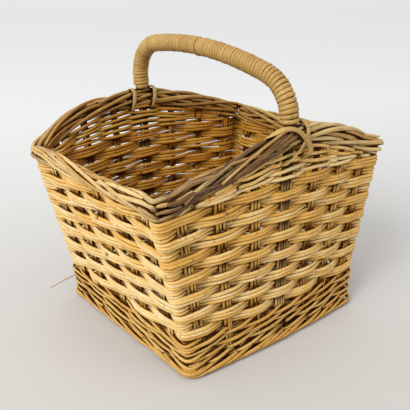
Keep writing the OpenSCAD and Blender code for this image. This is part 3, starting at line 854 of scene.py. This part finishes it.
# %% Short canes and the tie across the front left of the border
# Each short cane: where it begins and ends on the front, its roll there, and its weather.
short_canes = (
    (-0.93, -0.42, 0.08, -0.12, 1.2), (-0.8, -0.2, 0.3, 0.02, 0.6), (-0.66, -0.06, 0.12, 0.3, 1.1),
    (-0.5, -0.02, -0.1, 0.16, 0.7), (-0.97, -0.6, 0.28, 0.1, 0.8), (-0.42, -0.03, 0.02, -0.1, 1.2),
)
n = 50
from_middle = np.abs(np.linspace(-1, 1, n))
size = 1.16 - 0.12 * from_middle ** 3
for begin, end, roll_a, roll_b, wear in short_canes:
    q = np.linspace(begin, end, n)
    phase = 2 * np.pi * np.linspace(roll_a, roll_b, n)
    z = border_mid((q + 1) / 2) + roll_up * size * np.sin(phase) + drift(n, 5, 0.3)
    path = side_point(np.zeros(n, int), q, roll_out * size * np.cos(phase), z)
    thick = rng.uniform(0.95, 1.15) * np.clip(0.5 + 8 * (1 - from_middle), 0, 1)
    border.append(cane(path, tone=rng.uniform(0.3, 0.8), thick=thick, grey=wear))
tie_at, tie_up = (-96, -80, -63, -44, -22, -12), (223.0, 232.4, 242.0, 251.6, 261.5, 264.0)
tie_out = 9.8
tie_x = np.linspace(-12.0, -96.0, 60)
tie_z = np.interp(tie_x, tie_at, tie_up)
tie = side_point(np.zeros(len(tie_x), int), tie_x / half_l(tie_z), tie_out + 0 * tie_x, tie_z)
border.append(cane(tie, tone=0.35, thick=0.62, grey=0.35))
lay(
    "rim_border_canes", border, rim_rattan, ["rim_border"],
    width=4.7, waver=0.35, wave_len=80.0,
)

# %% [markdown]
# The handle is a bent rod with a strip of split cane wound round it, a turn to a little
# under five millimetres. Its crown leans: the back leg is longer than the front one. A
# helix is a path too, so the same tree winds it, with a flat section that faces away from
# the rod. Two strips were used, and the second begins over the end of the first.

# %% Handle rod
leg_y, wrap_z, bend_r = 140.33, 266.0, 46.0
front_leg, back_leg, crown_y, crown_z, crown_r = 3.895, 16.0925, 29.94, 332.5, 519.5
front_bend, back_bend = math.radians(74.8), math.radians(82.2)
crown_bend = math.pi - front_bend - back_bend
lengths = [front_leg, bend_r * front_bend, crown_r * crown_bend, bend_r * back_bend, back_leg]
stations = np.cumsum(lengths)
arch_run = stations[-1]


def arch(run):
    """Place and outward direction of the handle's middle line, front leg to back leg."""
    run = np.asarray(run, float)
    angle = math.pi - np.clip((run - stations[0]) / bend_r, 0, front_bend)
    angle = angle - np.clip((run - stations[1]) / crown_r, 0, crown_bend)
    angle = angle - np.clip((run - stations[2]) / bend_r, 0, back_bend)
    part = np.searchsorted(stations, run)
    radius = np.where(part == 2, crown_r, bend_r)
    hub_y = np.select([part < 2, part == 2], [bend_r - leg_y, crown_y], leg_y - bend_r)
    hub_z = np.select([part < 2, part == 2], [wrap_z + front_leg, crown_z - crown_r], wrap_z + back_leg)
    straight = np.minimum(run - stations[0], 0) - np.maximum(run - stations[3], 0)
    zero = 0 * run
    outward = np.stack([zero, np.cos(angle), np.sin(angle)], -1)
    return np.stack([zero, hub_y, hub_z + straight], -1) + radius[:, None] * outward, outward


rod_past = 1.5
centre, outward = arch(np.linspace(-rod_past, arch_run + rod_past, 80))
rods = [cane(centre, facing=outward, grey=0.3)]
lay("handle_rod", rods, rod_rattan, ["handle_core"], width=15.8, waver=0.0, sides=16)

# %% Handle winding
wrap_turns, wrap_r, points_a_turn = 76, 9.25, 22
first_end, second_start, end_gap = 39.2, 38.4, 0.3
sideways = np.array([1.0, 0, 0])
winding = []
for start, stop in ((end_gap, first_end), (second_start, wrap_turns - end_gap)):
    at = np.linspace(start, stop, int((stop - start) * points_a_turn))
    centre, outward = arch(at / wrap_turns * arch_run)
    angle = 2 * np.pi * at + 0.25 * np.sin(1.7 * at)
    radial = outward * np.cos(angle)[:, None] + sideways * np.sin(angle)[:, None]
    over = np.clip(first_end - at, 0, first_end - second_start) * (start == second_start)
    bulge = wrap_r + 0.18 * np.sin(2.3 * at) + 0.12 * np.sin(5.1 * at) + over
    shades_along = 0.35 + drift(len(at), 24, 0.16)
    thick = 1 + drift(len(at), 60, 0.03)
    winding.append(cane(centre + radial * bulge[:, None], facing=radial, tone=shades_along, thick=thick))
lay(
    "handle_winding", winding, strip_rattan, ["handle_wrap"],
    width=5.1, waver=0.12, thickness=2.8, sides=10, wave_len=20.0,
)

# %% [markdown]
# Strips of the same split cane tie the border to the legs of the handle: crossed on the
# front, looped on the back. No rule gives the way of a knot, so each is a few points
# listed one by one, drawn soft.

# %% Lashings
knot_z, soft_rounds = 252.0, 10


def tied(points, side):
    """A strip through points of (along x, out, height) at the handle leg of a side."""
    p = np.asarray(points, float)
    grid = np.linspace(0, len(p) - 1, 9 * len(p))
    soft = np.stack([np.interp(grid, np.arange(len(p)), p[:, i]) for i in range(3)], -1)
    for _ in range(soft_rounds):
        soft[1:-1] = (soft[:-2] + 2 * soft[1:-1] + soft[2:]) / 4
    x, out, z = soft.T
    path = np.stack([x, side * (leg_y + out), z], -1)
    away = np.stack([0 * x, side * out, z - knot_z], -1)
    return cane(path, facing=away, tone=rng.uniform(0.0, 0.25))


falling = [
    (-34, -6, 250), (-31, 2, 259), (-26, 8, 263), (-18, 10.8, 265.5), (-9, 12.6, 265), (0, 13.2, 261.5),
    (8, 13, 255), (17, 12.2, 246), (23, 11.4, 237), (22.5, 9, 230), (17, 4, 227),
]
rising = [
    (16, -11, 246), (16, -10.5, 258), (15, -5, 267), (16, 4, 269), (19, 10.6, 261),
    (16, 11.2, 250), (9, 11, 241), (-3, 10.8, 232), (-10, 8, 226), (-12, 3, 224),
]
front = [tied(points, -1) for points in (falling, rising)]
lay(
    "front_lashing_strips", front, strip_rattan, ["front_lashing"],
    width=6.2, waver=0.15, thickness=2.8,
)
back_loops = []
for x in (-16.2, 16.2):
    loop = [
        (x, 0, 236.5), (x - 5, -9, 238), (x - 3, -11.2, 248), (x, -9, 262), (x, 0, 266),
        (x, 8, 262.5), (x, 11.2, 250), (x, 9, 237), (x, 0, 236.2),
    ]
    back_loops.append(tied(loop, 1))
lay(
    "back_lashing_strips", back_loops, strip_rattan, ["back_lashing"],
    width=6.0, waver=0.15, thickness=1.8,
)

# %% [markdown]
# The cracks between the canes are given painted shade, dark brown where they lie deep.
# How deep a place lies could be drawn by hand for each cane. It is measured instead:
# every vertex looks out along its normal and in six directions round it, and keeps how
# many of the looks meet a cane nearby. The outer half of a cane is as deep as the freest
# point of it, with some more in its cracks, and so is the inner half. The material reads
# this as an attribute.

# %% How deep each place lies in the weave
look_far, look_from, look_slope, looks_round = 0.018, 0.0002, math.radians(42), 6
crack_share = 0.5
points, faces = [], []
for piece, sides in pieces:
    shift = len(points)
    points += [v.co for v in piece.data.vertices]
    faces += [[shift + i for i in p.vertices] for p in piece.data.polygons]
all_canes = BVHTree.FromPolygons(points, faces)
looks = [(0.0, 0.0, 1.0)]
for a in np.arange(looks_round) * math.pi / 3:
    tilt = math.sin(look_slope)
    looks.append((tilt * math.cos(a), tilt * math.sin(a), math.cos(look_slope)))
for piece, sides in pieces:
    depth = []
    for v in piece.data.vertices:
        turned = v.normal.to_track_quat("Z", "Y").to_matrix()
        eye = v.co + v.normal * look_from
        hits = [all_canes.ray_cast(eye, turned @ Vector(look), look_far)[3] for look in looks]
        depth.append(sum(1 - (h / look_far) ** 2 for h in hits if h is not None) / len(looks))
    rings = np.array(depth, np.float32).reshape(-1, sides)
    outer = np.array([v.co.xy.dot(v.normal.xy) > 0 for v in piece.data.vertices]).reshape(-1, sides)
    free_out = np.where(outer, rings, 1.0).min(1, keepdims=True)
    free_in = np.where(outer, 1.0, rings).min(1, keepdims=True)
    rings = (1 - crack_share) * np.where(outer, free_out, free_in) + crack_share * rings
    piece.data.attributes.new("deep", "FLOAT", "POINT").data.foreach_set("value", rings.ravel())
    print(piece.name, "mean depth", round(float(rings.mean()), 2))

# %% [markdown]
# The stage is a plain pale floor of matt paper, so wide that this camera sees no edge of
# it. Painted shade makes it darker near and paler far away, as a lit backdrop looks. A
# curved backdrop would do the same, but a floor whose shade follows the distance is simpler.

# %% Floor
floor_half, far_way, near_end, far_end = 40, (0.53, 0.85, 0.0), -0.6, 6.0
floor_mesh = bpy.data.meshes.new("floor")
floor_corners = [(x * floor_half, y * floor_half, 0) for x, y in ((-1, -1), (1, -1), (1, 1), (-1, 1))]
floor_mesh.from_pydata(floor_corners, [], [(0, 1, 2, 3)])
floor = bpy.data.objects.new("floor", floor_mesh)
scene.collection.objects.link(floor)
paper = bpy.data.materials.new("matt_paper")
paper.use_nodes = True
paper_tree = paper.node_tree
floor_place = add(paper_tree, "ShaderNodeTexCoord").outputs["Object"]
distance = add(
    paper_tree, "ShaderNodeVectorMath", {0: floor_place, 1: far_way}, operation="DOT_PRODUCT"
).outputs["Value"]
far = add(paper_tree, "ShaderNodeMapRange", {0: distance, 1: near_end, 2: far_end}).outputs[0]
# Painted shade: the paper is darker near the basket and paler far away.
shades = add(paper_tree, "ShaderNodeValToRGB", {"Fac": far})
stops = shades.color_ramp.elements
stops[0].position, stops[0].color = 0.0, colour("#b4b1ac")
stops[1].position, stops[1].color = 1.0, colour("#f2f2f2")
stops.new(0.26).color = colour("#e1e1e1")
paper_shader = paper_tree.nodes["Principled BSDF"].inputs
paper_tree.links.new(shades.outputs[0], paper_shader["Base Color"])
paper_shader["Roughness"].default_value = 0.9
floor_mesh.materials.append(paper)
print("floor:", 2 * floor_half, "m wide")

# %% [markdown]
# The room gives an even light from all round, stronger from above. What the camera or a
# shine sees of it is never darker than a pale backdrop.

# %% Light of the room
light_low, light_high, backdrop_least = 0.32, 1.22, 0.85
world = bpy.data.worlds.new("studio")
scene.world = world
world.use_nodes = True
sky = world.node_tree
sky_place = add(sky, "ShaderNodeTexCoord").outputs["Generated"]
high = add(sky, "ShaderNodeSeparateXYZ", {0: sky_place}).outputs["Z"]
strength = add(
    sky, "ShaderNodeMapRange", {0: high, 1: 0.0, 2: 1.0, 3: light_low, 4: light_high}
).outputs[0]
ray = add(sky, "ShaderNodeLightPath").outputs
seen = ray["Is Camera Ray"]
for kind in ("Is Glossy Ray", "Is Transmission Ray"):
    seen = add(sky, "ShaderNodeMath", {0: seen, 1: ray[kind]}, operation="MAXIMUM").outputs[0]
backdrop = add(sky, "ShaderNodeMath", {0: seen, 1: backdrop_least}, operation="MULTIPLY").outputs[0]
strength = add(sky, "ShaderNodeMath", {0: strength, 1: backdrop}, operation="MAXIMUM").outputs[0]
sky.links.new(strength, sky.nodes["Background"].inputs["Strength"])
sky.nodes["Background"].inputs["Color"].default_value = colour("#f7f7f7")
print("world:", world.name, len(sky.nodes), "nodes")

# %% [markdown]
# A large soft lamp stands at the upper left and gives the left end its light and the
# basket its soft shadow. A weak one in front opens the dark side a little. A sun would
# draw a hard shadow, and soft lamps don't.

# %% Lamps
lamp_aim = Vector((0, 0, 0.15))


def softbox(name, place, size, watts):
    """A round soft lamp that faces the basket."""
    lamp = bpy.data.lights.new(name, "AREA")
    lamp.shape, lamp.size, lamp.energy = "DISK", size, watts
    box = bpy.data.objects.new(name, lamp)
    scene.collection.objects.link(box)
    away = Vector(place) - lamp_aim
    box.matrix_world = Matrix.Translation(place) @ away.to_track_quat("Z", "Y").to_matrix().to_4x4()


softbox("key", (-3.6, -1.0, 2.7), 2.6, 166)
softbox("fill", (0.6, -1.9, 1.4), 1.6, 6)
